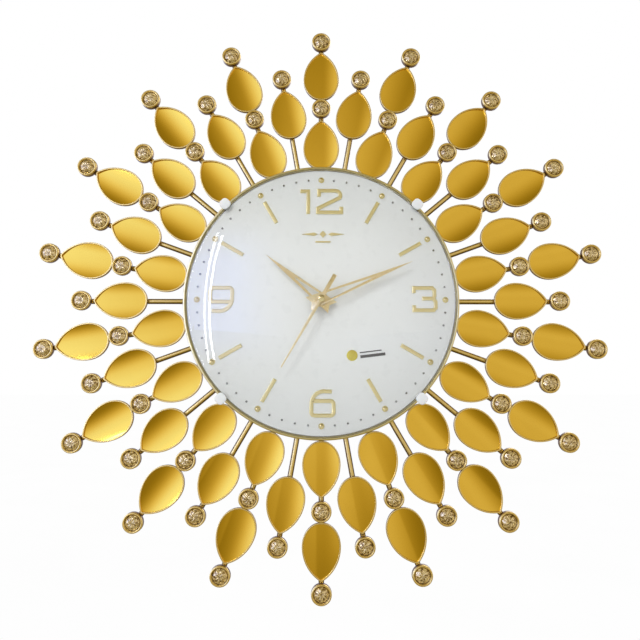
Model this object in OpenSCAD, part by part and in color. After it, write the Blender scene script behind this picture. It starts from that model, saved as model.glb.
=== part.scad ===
// Sunburst wall clock: a round dial under a domed glass, ringed by 36 gold rays
// of petals and cut stones, with a sweep quartz movement behind the dial.
// +Z is up and the dial faces -Y. The origin is on the hand arbor, at the wall.

/* [Dial] */
// Outer diameter of the gold rim round the dial
rim_d = 255; // [254:0.5:256]
// Width of the gold rim, seen from the front
rim_w = 3.2; // [2.6:0.1:3.4]
// Thickness of the dial plate
dial_t = 2; // [1.5:0.1:2]
// Radius of the ring of hour beads and minute studs
track_r = 114.8; // [112:0.2:116]
// Radius of a domed hour bead
bead_r = 2.9; // [2:0.1:3.2]
// Radius of a minute stud
stud_r = 1; // [0.6:0.1:1.3]
// Radius at the middle of the hour batons
baton_r = 95.8; // [90:0.2:98]
// Length of an hour baton
baton_len = 23.4; // [14:0.2:24]
// Width of a numeral's stroke and of a baton
stroke_w = 3.5; // [2:0.1:3.6]
// Thickness of the raised numerals and batons
applique_t = 1.2; // [0.6:0.1:1.5]

/* [Glass] */
// Height of the dome above its flange
glass_h = 16.4; // [14:0.2:20]
// Thickness of the glass
glass_t = 2; // [1.5:0.1:2.5]

/* [Rays] */
// Number of rays, long and short ones by turns
ray_count = 36; // [36:36:36]
// Diameter of a ray rod
rod_d = 5; // [3:0.2:5.2]
// Length of a petal frame
petal_len = 50.4; // [44:0.2:50.4]
// Half the width of a petal frame
petal_half = 17.4; // [14:0.2:17.6]
// Distance from a petal's round end to its widest place
petal_wide = 20.5; // [17:0.5:22]
// Thickness of a petal frame
petal_t = 3; // [2.4:0.2:3.4]
// Width of the raised edge of a petal frame
petal_edge = 1.4; // [1:0.1:2]
// Radius at the start of the inner petals
inner_petal_r = 128.6; // [128.4:0.1:130]
// Radius of the inner ring of stones
inner_jewel_r = 190.6; // [189:0.1:190.6]
// Radius at the start of the outer petals
outer_petal_r = 200; // [200:0.1:200.4]
// Radius of the outer ring of stones
outer_jewel_r = 260.4; // [260:0.1:265]
// Radius at the start of the short rays' petals
middle_petal_r = 162.8; // [162:0.1:164]
// Radius of the short rays' ring of stones
middle_jewel_r = 224.2; // [224:0.1:228]
// Radius of a stone's cup
cup_r = 9.2; // [8:0.1:9.2]

/* [Hands] */
// Length of the hour hand from the arbor
hour_len = 66; // [45:0.5:70]
// Length of the minute hand from the arbor
minute_len = 91; // [75:0.5:100]
// Length of the second hand from the arbor
second_len = 72; // [60:0.5:100]
// Length of the second hand's tail
second_tail = 25; // [18:0.5:30]
// Half the width across the swallow tail of the hour and minute hands
hand_half = 6.5; // [4:0.1:7]
// Distance from the arbor back to the prongs of the swallow tail
hand_back = 13; // [9:0.5:14]
// Angle by which the hour hand is pressed on ahead of the time
hour_set = 3; // [-5:0.5:5]
// Angle by which the minute hand is pressed on ahead of the time
minute_set = -2; // [-5:0.5:5]

/* [Time shown] */
// Hour
show_hour = 10; // [0:1:11]
// Minute
show_minute = 11; // [0:1:59]
// Second
show_second = 35; // [0:1:59]

/* [Movement] */
// Width of the movement case
case_w = 56; // [56:0.5:57]
// Height of the movement case
case_h = 56; // [56:0.5:57]
// Depth of the movement case
case_d = 17; // [17:0.1:17.2]
// Height of the arbor below the top of the case
arbor_drop = 21; // [21:0.1:21.4]

/* [Hidden] */

$fn = 64;
gold = [0.80, 0.61, 0.20];
pale_gold = [0.86, 0.76, 0.50];

// Depths are measured forward from the wall
ring_back = 2;
ring_t = 3;
ring_in = 98;
ring_out = 114;
rod_back = ring_back + ring_t;
ray_front = rod_back + rod_d;
cup_t = 5.4;
cup_floor = 1.2;
petal_floor = 0.8;
mirror_t = 1;
floor_t = 2;
floor_in = 52;
dial_back = case_d + 0.6;
dial_front = dial_back + dial_t;
rim_r = rim_d / 2;
dial_r = rim_r - rim_w - 0.4;
flange_t = 2;
flange_w = 2.5;
dome_r = dial_r - flange_w;
rim_front = dial_front + flange_t + 0.4;
long_step = 2 * 360 / ray_count;
fixing_r = 106;
fixing_turn = 45;
plate_screw_r = 2;

// Movement: every distance from the wall, wheels from back to front
cover_t = 1.4;
wall_t = 1.2;
front_t = 1;
top_z = arbor_drop;
bottom_z = arbor_drop - case_h;
bay_z = -18;
battery_r = 7.1;
battery_len = 49;
battery_z = -26.1;
battery_depth = 8;
bridge_back = 8.2;
bridge_t = 0.8;
wheel_t = 0.8;
pivot_back = 0.9;
pivot_r = 0.6;
drive_pinion_z = 2.9;
relay_z = 3.2;
seconds_z = 5;
seconds_pinion_z = 6.2;
third_z = 6.6;
third_pinion_z = 9.4;
centre_z = 9.6;
cannon_z = 11.2;
motion_z = 11.6;
motion_pinion_z = 12.4;
hour_z = 14.4;
board_back = 2.6;
board_t = 0.8;
pillar_r = 1.7;
screw_hole_r = 0.9;
pressure = 28;
third_at = [12.24, 0];
motion_at = [-13, 0];
intermediate_at = [12 * cos(100), 12 * sin(100)];
rotor_at = intermediate_at + [8.4 * cos(160), 8.4 * sin(160)];
motion_m = norm(motion_at) / 24;
hour_m = norm(motion_at) / 25;
seconds_m = norm(third_at) / 34;
third_m = norm(third_at) / 36;
drive_m = 12 / 30;
rotor_m = 8.4 / 28;
play = 0.12;
seconds_shaft_r = 0.7;
minute_tube_r = 1.6;
hour_tube_r = 2.5;
bush_r = 4;
bush_top = dial_front + 3.6;
hour_depth = bush_top + 0.8;
minute_depth = hour_depth + 2.4;
second_depth = minute_depth + 2.5;
hand_t = 0.8;
second_t = 0.5;
hour_turn = 30 * (show_hour + show_minute / 60 + show_second / 3600);
minute_turn = 6 * (show_minute + show_second / 60);
second_turn = 6 * show_second;

// Turns flat drawings, X to the right and Y up, to face the front of the clock
module front(depth = 0) {
    translate([0, -depth, 0]) rotate([90, 0, 0]) children();
}

// Places children at a clockwise angle from twelve and a radius
module at_ray(turn, r = 0) {
    rotate([0, 0, -turn]) translate([0, r, 0]) children();
}

module on_rays(first, r = 0) {
    for (turn = [first : long_step : first + 359]) at_ray(turn, r) children();
}

module disc(r, t, bore = 0) {
    difference() {
        cylinder(r = r, h = t);
        if (bore > 0) translate([0, 0, -1]) cylinder(r = bore, h = t + 2);
    }
}

module ring(r_out, r_in, t) {
    rotate_extrude($fn = 96) translate([r_in, 0]) square([r_out - r_in, t]);
}

function unit(v) = v / norm(v);

// The point beside p[i] at distance h, mitred where the line turns
function beside(p, i, h) = let (last = len(p) - 1,
    a = unit(p[max(i, 1)] - p[max(i, 1) - 1]), b = unit(p[min(i + 1, last)] - p[min(i + 1, last) - 1]),
    n = unit([-a[1] - b[1], a[0] + b[0]])) p[i] + n * h / (n * [-a[1], a[0]]);

// A stroke of width w through the points, with mitred corners and square ends
module stroke(p, w) {
    polygon(concat([for (i = [0 : len(p) - 1]) beside(p, i, w / 2)],
        [for (i = [len(p) - 1 : -1 : 0]) beside(p, i, -w / 2)]));
}

function arc(centre, r, from, to, steps = 6) =
    [for (i = [0 : steps]) centre + r * [cos(from + (to - from) * i / steps),
                                         sin(from + (to - from) * i / steps)]];

// ---- rays ----

function tip_r() = (pow(petal_len - petal_wide, 2) + pow(petal_half, 2)) / (2 * petal_half);

// Right side of a petal drawn in by inset: a quarter ellipse, then an arc to the point
function petal_side(inset, steps) = concat(
    [for (i = [0 : steps]) let (a = 90 * i / steps)
        [(petal_half - inset) * sin(a), petal_wide - (petal_wide - inset) * cos(a)]],
    let (last = acos((tip_r() - petal_half) / (tip_r() - inset)))
    [for (i = [1 : steps]) let (a = last * i / steps)
        [petal_half - tip_r() + (tip_r() - inset) * cos(a), petal_wide + (tip_r() - inset) * sin(a)]]);

function petal_outline(inset, steps = 10) = let (side = petal_side(inset, steps))
    concat(side, [for (i = [len(side) - 2 : -1 : 1]) [-side[i][0], side[i][1]]]);

module petal_frame() {
    difference() {
        linear_extrude(petal_t) polygon(petal_outline(0));
        translate([0, 0, petal_floor]) linear_extrude(petal_t) polygon(petal_outline(petal_edge));
    }
}

module petal_mirror() {
    translate([0, 0, petal_floor]) linear_extrude(mirror_t) polygon(petal_outline(petal_edge + 0.1));
}

module jewel_cup() {
    rotate_extrude($fn = 32) polygon([[0, 0], [cup_r - 0.6, 0], [cup_r, 0.8], [cup_r, cup_t - 1.2],
        [cup_r - 0.8, cup_t], [cup_r - 1.8, cup_t], [cup_r - 2.4, cup_t - 0.8],
        [cup_r - 2.4, cup_floor], [0, cup_floor]]);
}

module jewel() {
    translate([0, 0, cup_floor]) rotate_extrude($fn = 32) polygon([[0, 0], [cup_r - 3.2, 0],
        [cup_r - 2.6, 2.8], [cup_r - 5, 4.8], [0, 5.2]]);
}

module ray_rod(length) {
    translate([0, ring_in, rod_d / 2]) rotate([-90, 0, 0]) cylinder(d = rod_d, h = length);
}

module ray_ring() color(gold) front(ring_back) difference() {
    ring(ring_out, ring_in, ring_t);
    for (i = [0 : 3]) at_ray(fixing_turn + 90 * i, fixing_r) translate([0, 0, -1])
        cylinder(r = plate_screw_r + 0.2, h = ring_t + 2);
}

module wall_hanger() color("silver") front(ring_back - 1.6) difference() {
    translate([-12, 70, 0]) cube([24, 42, 1.6]);
    translate([0, 80, -1]) cylinder(r = 4.5, h = 4);
    translate([-2.2, 80, -1]) cube([4.4, 9, 4]);
    translate([0, 89, -1]) cylinder(r = 2.2, h = 4);
}

module wall_bumpers() color("dimgray") front()
    for (turn = [75, 105, 255, 285]) at_ray(turn, fixing_r) disc(5, ring_back);

module long_ray_rods() color(gold) front(rod_back) on_rays(0) ray_rod(outer_jewel_r - ring_in);

module short_ray_rods() color(gold) front(rod_back) on_rays(10) ray_rod(middle_jewel_r - ring_in);

module inner_petal_frames() color(gold) front(ray_front) on_rays(0, inner_petal_r) petal_frame();

module middle_petal_frames() color(gold) front(ray_front) on_rays(10, middle_petal_r) petal_frame();

module outer_petal_frames() color(gold) front(ray_front) on_rays(0, outer_petal_r) petal_frame();

module inner_petal_mirrors() color("gold") front(ray_front) on_rays(0, inner_petal_r) petal_mirror();

module middle_petal_mirrors() color("gold") front(ray_front)
    on_rays(10, middle_petal_r) petal_mirror();

module outer_petal_mirrors() color("gold") front(ray_front) on_rays(0, outer_petal_r) petal_mirror();

module inner_jewel_cups() color(gold) front(ray_front) on_rays(0, inner_jewel_r) jewel_cup();

module middle_jewel_cups() color(gold) front(ray_front) on_rays(10, middle_jewel_r) jewel_cup();

module outer_jewel_cups() color(gold) front(ray_front) on_rays(0, outer_jewel_r) jewel_cup();

module inner_jewels() color("wheat") front(ray_front) on_rays(0, inner_jewel_r) jewel();

module middle_jewels() color("wheat") front(ray_front) on_rays(10, middle_jewel_r) jewel();

module outer_jewels() color("wheat") front(ray_front) on_rays(0, outer_jewel_r) jewel();

// ---- case, dial and glass ----

module back_case() color("whitesmoke") front(ray_front) difference() {
    union() {
        ring(dial_r, floor_in, floor_t);
        ring(dial_r, dial_r - 4, dial_back - ray_front);
        for (i = [0 : 3]) at_ray(fixing_turn + 90 * i, fixing_r) disc(4.5, 5.4);
    }
    for (i = [0 : 3]) at_ray(fixing_turn + 90 * i, fixing_r) translate([0, 0, -1])
        cylinder(r = plate_screw_r + 0.1, h = 7);
}

module case_spacers() color("silver") front(rod_back)
    for (i = [0 : 3]) at_ray(fixing_turn + 90 * i, fixing_r) disc(4.5, rod_d, plate_screw_r + 0.2);

module case_screws() color("silver") front(ring_back - 1.5)
    for (i = [0 : 3]) at_ray(fixing_turn + 90 * i, fixing_r) difference() {
        union() {
            cylinder(r = 3.6, h = 1.5);
            cylinder(r = plate_screw_r, h = 14);
        }
        for (a = [0, 90]) rotate([0, 0, a]) translate([-2.2, -0.5, -1]) cube([4.4, 1, 1.8]);
    }

module dial_plate() color([0.85, 0.87, 0.87]) front(dial_back)
    disc(dial_r, dial_t, bush_r + 0.1);

module dial_rim() color(pale_gold) front(ray_front) rotate_extrude($fn = 96)
    polygon([[rim_r - rim_w, 0], [rim_r, 0], [rim_r, rim_front - ray_front - 1],
        [rim_r - 1, rim_front - ray_front], [rim_r - rim_w + 0.6, rim_front - ray_front],
        [rim_r - rim_w, rim_front - ray_front - 0.6]]);

// Section of a dome of radius r and height h over the flange, flat on top and steeper to its edge
function dome_curve(r, h, steps = 20) = [for (i = [0 : steps]) let (x = r * sin(90 * i / steps))
    [x, flange_t + h * (1 - pow(x / r, 2.5))]];

// The inner face runs on down to the dial, so the glass is as thick at its edge as on top
module dome_glass() {
    inside = dome_curve(dome_r - glass_t, glass_h - glass_t);
    outside = dome_curve(dome_r, glass_h);
    color([0.8, 0.9, 0.95, 0.4]) front(dial_front) rotate_extrude($fn = 96) polygon(concat(
        inside, [[dial_r - flange_w / 2, 0], [dial_r, 0], [dial_r, flange_t]],
        [for (i = [len(outside) - 1 : -1 : 0]) outside[i]]));
}

// A clip grips the glass flange in front and the case floor behind
module glass_clips() {
    leg_in = rim_r + 0.2;
    leg_t = 0.7;
    hook_in = dial_r - 5;
    cap_half = 5;
    color("white") front() for (i = [0 : 3]) at_ray(45 + 90 * i) {
        translate([0, rim_r + 0.2, rim_front]) linear_extrude(2) {
            square([4, 10], center = true);
            for (side = [-1, 1], end = [-1, 1]) translate([side * 2, end * 2]) circle(r = 3);
            square([2 * cap_half, 4], center = true);
        }
        translate([-3.4, leg_in, ray_front - 1.4]) cube([6.8, leg_t, rim_front - ray_front + 1.4]);
        translate([-3.4, hook_in, ray_front - 1.4]) cube([6.8, leg_in + leg_t - hook_in, 1.4]);
    }
}

module applique(t = applique_t) front(dial_front) linear_extrude(t) children();

module numeral_twelve() color(pale_gold) applique() {
    stroke([[-20, 103.8], [-12.4, 103.8], [-12.4, 81.6]], stroke_w);
    stroke(concat([[-2.2, 98.6], [-2.2, 104.4]], [[13.4, 104.4]],
        arc([13.4, 99.8], 4.6, 60, -30, 4), [[-3.4, 87], [-3.4, 83.2], [18.8, 83.2], [18.8, 88.6]]),
        stroke_w);
}

module numeral_three() color(pale_gold) applique() {
    stroke([[85.6, 6.2], [85.6, 11], [102.6, 11], [104.6, 8.8], [104.6, 3.4], [103.4, 1.2],
        [105.6, -2], [105.6, -7.6], [103.6, -9.8], [85.6, -9.8], [85.6, -5.2]], stroke_w);
    translate([93, 1.2 - stroke_w / 2]) square([10, stroke_w]);
}

// The six about its own middle: an open arc over a closed loop with round corners
module six_shape() {
    stroke(concat([[8.4, 10.6]], arc([1.4, -0.6], 11.5, 80, 170, 8), arc([-7.1, -7.8], 3, 180, 270, 3),
        arc([7.1, -7.8], 3, -90, 0, 3), arc([7.1, -0.8], 3, 0, 90, 3), [[5, 2.2]]), stroke_w);
    translate([-9.4, 2.2 - stroke_w / 2]) square([15.4, stroke_w]);
}

module numeral_six() color(pale_gold) applique() translate([1, -94.6]) six_shape();

module numeral_nine() color(pale_gold) applique() translate([-92.4, 0.2]) rotate(180) six_shape();

module hour_batons() color(pale_gold) applique()
    for (h = [1 : 11]) if (h % 3 != 0) rotate(-30 * h)
        translate([-stroke_w / 2, baton_r - baton_len / 2]) square([stroke_w, baton_len]);

module hour_beads() color(gold) front(dial_front)
    for (h = [0 : 11]) at_ray(30 * h, track_r) intersection() {
        translate([0, 0, -0.6]) sphere(r = bead_r, $fn = 32);
        cylinder(r = bead_r + 1, h = bead_r + 1);
    }

module minute_studs() color("silver") front(dial_front)
    for (m = [0 : 59]) if (m % 5 != 0) at_ray(6 * m, track_r) cylinder(r = stud_r, h = 0.8, $fn = 16);

// A plain ornament: a lozenge between two long darts, over a short bar
module dial_ornament() color(pale_gold) applique(0.8) translate([1.5, 62]) {
    rotate(45) square(4.6, center = true);
    for (side = [-1, 1]) polygon([[side * 5, 0], [side * 8, 1.6], [side * 20, 0], [side * 8, -1.6]]);
    translate([-7, -8]) square([14, 1.4]);
}

module dial_badge() color("gold") applique(0.6) translate([28, -51.4]) circle(r = 5);

module badge_bars() color("dimgray") applique(0.3) translate([35.4, -51.6]) rotate(7) {
    translate([0, -2.4]) square([23, 2.6]);
    translate([0, 2.2]) square([20, 1]);
}

// ---- gears ----

function involute(a) = tan(a) - a * PI / 180;

// Half the angle of a tooth at radius r, in degrees; thinned by play
function tooth_half(r, z, m) = let (base = m * z / 2 * cos(pressure), at = acos(base / max(r, base)))
    (90 / z) + (involute(pressure) - involute(at)) * 180 / PI - play / 2 / (m * z / 2) * 90 / PI;

// Outline of a gear of z teeth, with a tooth centred at the angle phase
function gear_points(z, m, phase, tip = 0.8, root = 1.15) =
    let (pitch_r = m * z / 2, rs = [pitch_r - root * m, pitch_r - 0.5 * m, pitch_r,
                                    pitch_r + 0.45 * tip * m, pitch_r + tip * m])
    [for (i = [0 : z - 1]) let (mid = phase + 360 * i / z)
        each concat([for (r = rs) r * [cos(mid - tooth_half(r, z, m)), sin(mid - tooth_half(r, z, m))]],
            [for (k = [4 : -1 : 0]) rs[k] * [cos(mid + tooth_half(rs[k], z, m)),
                                            sin(mid + tooth_half(rs[k], z, m))]])];

module gear(z, m, t, phase = 0) linear_extrude(t) polygon(gear_points(z, m, phase));

// Arbors and pivots are twelve-sided bars
module bar(r, t) cylinder(r = r, h = t, $fn = 12);

module bored(r, from, to) difference() {
    children();
    translate([0, 0, from - 1]) bar(r, to - from + 2);
}

// Phase of a driven gear of z teeth at direction away, gapped for its mate's tooth
function meshed(z, away) = away + 180 + 180 / z;

module hour_wheel() color("white") front() bored(minute_tube_r + 0.15, hour_z - 0.4, hour_depth + 1) {
    translate([0, 0, hour_z]) gear(40, hour_m, 1, meshed(40, 0));
    translate([0, 0, hour_z - 0.4]) bar(hour_tube_r, hour_depth + 1.4 - hour_z);
}

module centre_wheel() color("white") front() bored(seconds_shaft_r + 0.15, centre_z - 0.3, minute_depth + 1) {
    translate([0, 0, centre_z]) gear(64, third_m, wheel_t, meshed(64, 180));
    translate([0, 0, cannon_z]) gear(12, motion_m, 2, meshed(12, 0));
    translate([0, 0, centre_z - 0.3]) bar(minute_tube_r, minute_depth + 1.3 - centre_z);
}

module seconds_wheel() color("white") front() {
    translate([0, 0, seconds_z]) gear(50, drive_m, wheel_t, meshed(50, 280));
    translate([0, 0, seconds_pinion_z]) gear(8, seconds_m, 1.6, meshed(8, 180));
    translate([0, 0, pivot_back]) bar(seconds_shaft_r, second_depth + 0.6 - pivot_back);
}

module third_wheel() color("white") front() translate(third_at) {
    translate([0, 0, third_z]) gear(60, seconds_m, wheel_t, 180);
    translate([0, 0, third_pinion_z]) gear(8, third_m, 1.4, 180);
    translate([0, 0, pivot_back]) bar(pivot_r, 14.5);
}

module minute_wheel() color("white") front() translate(motion_at) {
    translate([0, 0, motion_z]) gear(36, motion_m, wheel_t, 0);
    translate([0, 0, motion_pinion_z]) gear(10, hour_m, 3.2, 0);
    translate([0, 0, 1.3]) bar(1, 11);
    translate([0, 0, 15]) bar(pivot_r, 1.4);
}

module setting_knob() color("dimgray") front(0.1) translate(motion_at) difference() {
    cylinder(r = 4.4, h = 1.2);
    for (a = [0 : 30 : 359]) rotate([0, 0, a]) translate([4.6, 0, -1]) cylinder(r = 0.5, h = 4, $fn = 16);
}

module intermediate_wheel() color("white") front() translate(intermediate_at) {
    translate([0, 0, relay_z]) gear(48, rotor_m, wheel_t, 160);
    translate([0, 0, relay_z + wheel_t]) gear(10, drive_m, 2.2, 280);
    translate([0, 0, pivot_back]) bar(pivot_r, 8);
}

module rotor() color("gray") front() translate(rotor_at) {
    translate([0, 0, drive_pinion_z]) gear(8, rotor_m, 1.5, meshed(8, 160));
    translate([0, 0, 4.8]) cylinder(r = 3, h = 3);
    translate([0, 0, pivot_back]) bar(pivot_r, 8);
}

// ---- movement ----

function arbors() = [[0, 0], third_at, intermediate_at, rotor_at];

function case_corners() = [for (x = [-1, 1], z = [top_z - 2.6, bay_z + 2.6]) [x * (case_w / 2 - 2.6), z]];

module case_outline(inset) translate([inset - case_w / 2, bottom_z + inset])
    square([case_w - 2 * inset, case_h - 2 * inset]);

module movement_case() color("dimgray") front() difference() {
    union() {
        translate([0, 0, cover_t]) linear_extrude(case_d - cover_t) difference() {
            case_outline(0);
            case_outline(wall_t);
        }
        translate([0, 0, case_d - front_t]) linear_extrude(front_t) case_outline(0);
        translate([-case_w / 2 + 1, bay_z, cover_t + 2]) cube([case_w - 2, 0.8, case_d - cover_t - 3]);
        translate([0, 0, case_d - front_t]) cylinder(r = bush_r, h = bush_top - case_d + front_t);
        translate([third_at[0], third_at[1], 11.6]) cylinder(r = 1.2, h = 5);
        for (c = case_corners()) translate([c[0], c[1], cover_t])
            cylinder(r = pillar_r, h = case_d - cover_t - 0.5);
    }
    translate([0, 0, 12]) cylinder(r = hour_tube_r + 0.15, h = 20);
    translate([third_at[0], third_at[1], 10]) cylinder(r = 0.75, h = 6);
    translate([motion_at[0], motion_at[1], 15]) cylinder(r = 0.75, h = 1.6);
    for (c = case_corners()) translate([c[0], c[1], 0]) cylinder(r = screw_hole_r, h = 7);
}

module movement_cover() color([0.2, 0.2, 0.22]) front() difference() {
    union() {
        linear_extrude(cover_t) case_outline(0);
        for (p = arbors()) translate([p[0], p[1], 0]) cylinder(r = 1.7, h = 2.4);
        translate([motion_at[0], motion_at[1], 0]) cylinder(r = 5.9, h = 2.4);
        for (x = [8, 20]) translate([x - 1, -15, 0]) cube([2, 2, board_back]);
    }
    for (p = arbors()) translate([p[0], p[1], 0.7]) cylinder(r = 0.85, h = 4);
    translate([motion_at[0], motion_at[1], -1]) cylinder(r = 4.9, h = 2.6);
    translate([motion_at[0], motion_at[1], -1]) cylinder(r = 1.15, h = 5);
    translate([-case_w / 2 + 2, bottom_z + 1.4, -1]) cube([case_w - 4, bay_z - bottom_z - 2, 4]);
    for (c = case_corners()) translate([c[0], c[1], -1]) {
        cylinder(r = screw_hole_r, h = 4);
        cylinder(r = pillar_r, h = 1.8);
    }
}

module cover_screws() color("silver") front(0.1)
    for (c = case_corners()) translate([c[0], c[1], 0]) difference() {
        union() {
            cylinder(r = 1.5, h = 0.7);
            cylinder(r = 0.8, h = 6.5);
        }
        translate([-2, -0.2, -1]) cube([4, 0.4, 1.3]);
    }

module gear_bridge() color([0.85, 0.8, 0.6]) front(bridge_back) linear_extrude(bridge_t) difference() {
    translate([-18, -14.6]) square([40.8, 33.6]);
    for (p = arbors()) translate(p) circle(r = 0.85);
    translate(motion_at) circle(r = 1.15);
}

module rubber_washer() color("dimgray") front(case_d) disc(9, dial_back - case_d, bush_r + 0.1);

module brass_washer() color("goldenrod") front(dial_front) disc(6.6, 0.5, bush_r + 0.1);

module bush_nut() color("goldenrod") front(dial_front + 0.5) difference() {
    cylinder(r = 6.2, h = 2.2, $fn = 6);
    translate([0, 0, -1]) cylinder(r = bush_r + 0.05, h = 5);
}

// A plate round the rotor, and the core that runs down through the coil
module stator() color("silver") front(5.4) linear_extrude(1) difference() {
    union() {
        translate([-25.6, 10.8]) square([20.2, 5.4]);
        translate([-23.2, 16]) square([17.8, 3.2]);
        translate([-25.6, -12]) square([4, 24]);
    }
    translate(rotor_at) circle(r = 3.6);
}

module coil() color("chocolate") front(5.9) difference() {
    translate([-23.6, -9, 0]) rotate([-90, 0, 0]) {
        cylinder(r = 2.9, h = 17);
        for (z = [0, 16.2]) translate([-3.1, -3.1, z]) cube([6.2, 6.2, 0.8]);
    }
    translate([-25.7, -10, -0.6]) cube([4.2, 20, 1.2]);
}

module circuit_board() color("darkgreen") front(board_back) {
    translate([6, -16.6, 0]) cube([16.8, 12.4, board_t]);
    translate([16, -9.4, board_t - 0.1]) cube([4, 4, 1.1]);
}

module quartz_crystal() color("silver") front(board_back + board_t)
    translate([8, -13, 1]) rotate([0, 90, 0]) cylinder(r = 1, h = 6);

module battery() color("peru") front(battery_depth) translate([0, battery_z, 0]) {
    translate([-battery_len / 2, 0, 0]) rotate([0, 90, 0]) cylinder(r = battery_r, h = battery_len);
    translate([battery_len / 2 - 1, 0, 0]) rotate([0, 90, 0]) cylinder(r = 2.7, h = 2);
}

module battery_contacts() color("silver") front(battery_depth) for (side = [-1, 1])
    translate([side * (case_w / 2 - wall_t - 0.3), battery_z, 0]) {
        cube([0.4, 9, 9], center = true);
        if (side < 0) rotate([0, 90, 0]) cylinder(r = 3, h = case_w / 2 - wall_t - 0.3 - battery_len / 2);
    }

// ---- hands ----

// A long dart with a swallow tail and a slot between its two rails
module dart_hand(length, slot, hole) {
    function half_at(y) = hand_half * (length - y) / (length + hand_back);
    rail = 1.9;
    difference() {
        polygon([[0, length], [hand_half, -hand_back], [0, 3.5 - hand_back], [-hand_half, -hand_back]]);
        polygon([[half_at(5) - rail, 5], [0.3, slot], [-0.3, slot], [rail - half_at(5), 5]]);
        circle(r = hole);
    }
}

module hour_hand() color(pale_gold) front(hour_depth) rotate([0, 0, -hour_turn - hour_set])
    linear_extrude(hand_t) dart_hand(hour_len, 31, hour_tube_r);

module minute_hand() color(pale_gold) front(minute_depth) rotate([0, 0, -minute_turn - minute_set])
    linear_extrude(hand_t) dart_hand(minute_len, 49, minute_tube_r);

module second_hand() color(pale_gold) front(second_depth) rotate([0, 0, -second_turn]) difference() {
    linear_extrude(second_t) {
        polygon([[-1.7, 0], [1.7, 0], [0.5, second_len], [-0.5, second_len]]);
        translate([-1.85, -second_tail]) square([3.7, second_tail]);
        circle(r = 3.4);
    }
    translate([0, 0, -1]) bar(seconds_shaft_r, 5);
}

module second_hand_cap() color(gold) front(second_depth + 0.5) {
    rotate_extrude($fn = 32) polygon([[0.7, 0], [3.2, 0], [3.2, 0.5], [2.6, 1], [1.4, 1.2], [1.4, 2],
        [0.9, 2.4], [0, 2.4], [0, 0.2], [0.7, 0.2]]);
}

ray_ring();
wall_hanger();
wall_bumpers();
long_ray_rods();
short_ray_rods();
inner_petal_frames();
middle_petal_frames();
outer_petal_frames();
inner_petal_mirrors();
middle_petal_mirrors();
outer_petal_mirrors();
inner_jewel_cups();
middle_jewel_cups();
outer_jewel_cups();
inner_jewels();
middle_jewels();
outer_jewels();
back_case();
case_spacers();
case_screws();
dial_plate();
dial_rim();
dome_glass();
glass_clips();
numeral_twelve();
numeral_three();
numeral_six();
numeral_nine();
hour_batons();
hour_beads();
minute_studs();
dial_ornament();
dial_badge();
badge_bars();
movement_case();
movement_cover();
cover_screws();
gear_bridge();
rubber_washer();
brass_washer();
bush_nut();
stator();
coil();
circuit_board();
quartz_crystal();
battery();
battery_contacts();
hour_wheel();
hour_hand();
centre_wheel();
minute_hand();
seconds_wheel();
second_hand();
second_hand_cap();
third_wheel();
minute_wheel();
setting_knob();
intermediate_wheel();
rotor();
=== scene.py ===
"""Sunburst wall clock: a domed dial ringed by 36 gold rays of mirror petals and cut stones.

+Z is up and the dial faces -Y. The origin is on the hand arbor, at the wall. Depths are
measured forward from the wall, in millimetres, so a depth d lies at y = -d.
"""

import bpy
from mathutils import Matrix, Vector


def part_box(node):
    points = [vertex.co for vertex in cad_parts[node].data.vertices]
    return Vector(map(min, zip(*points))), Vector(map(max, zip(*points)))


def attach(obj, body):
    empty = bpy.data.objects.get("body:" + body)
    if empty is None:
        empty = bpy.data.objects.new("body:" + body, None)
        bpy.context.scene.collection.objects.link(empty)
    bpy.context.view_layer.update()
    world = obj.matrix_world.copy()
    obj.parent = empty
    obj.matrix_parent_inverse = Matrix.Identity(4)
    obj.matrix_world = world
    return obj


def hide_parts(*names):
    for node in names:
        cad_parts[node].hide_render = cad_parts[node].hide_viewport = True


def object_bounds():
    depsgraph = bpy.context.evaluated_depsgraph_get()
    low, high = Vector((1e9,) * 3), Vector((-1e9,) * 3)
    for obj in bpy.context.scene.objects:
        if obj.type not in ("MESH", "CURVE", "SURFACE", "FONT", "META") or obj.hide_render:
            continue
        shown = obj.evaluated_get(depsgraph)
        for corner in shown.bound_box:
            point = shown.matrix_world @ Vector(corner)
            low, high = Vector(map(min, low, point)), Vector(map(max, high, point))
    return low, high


bl_info = {
    "name": "Sunburst Wall Clock",
    "version": (1, 0, 0),
    "blender": (4, 5, 0),
    "location": "View3D > Sidebar > Clock",
    "description": "Builds a sunburst wall clock round its mechanical frame",
    "category": "Object",
}

import math
import random
from contextlib import contextmanager

import bmesh
import bpy
from bpy.props import FloatProperty, FloatVectorProperty, IntProperty, PointerProperty
from bpy.types import NodeSocket, Operator, Panel, PropertyGroup
from mathutils import Vector

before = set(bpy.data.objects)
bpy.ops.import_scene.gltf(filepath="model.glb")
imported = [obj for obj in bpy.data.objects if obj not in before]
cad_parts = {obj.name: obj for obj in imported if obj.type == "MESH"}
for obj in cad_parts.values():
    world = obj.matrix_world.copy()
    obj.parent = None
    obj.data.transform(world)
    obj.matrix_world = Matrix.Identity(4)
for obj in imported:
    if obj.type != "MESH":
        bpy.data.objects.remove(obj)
CAD_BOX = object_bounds()
MM = 0.001
DONE = {"FINISHED"}

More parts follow.
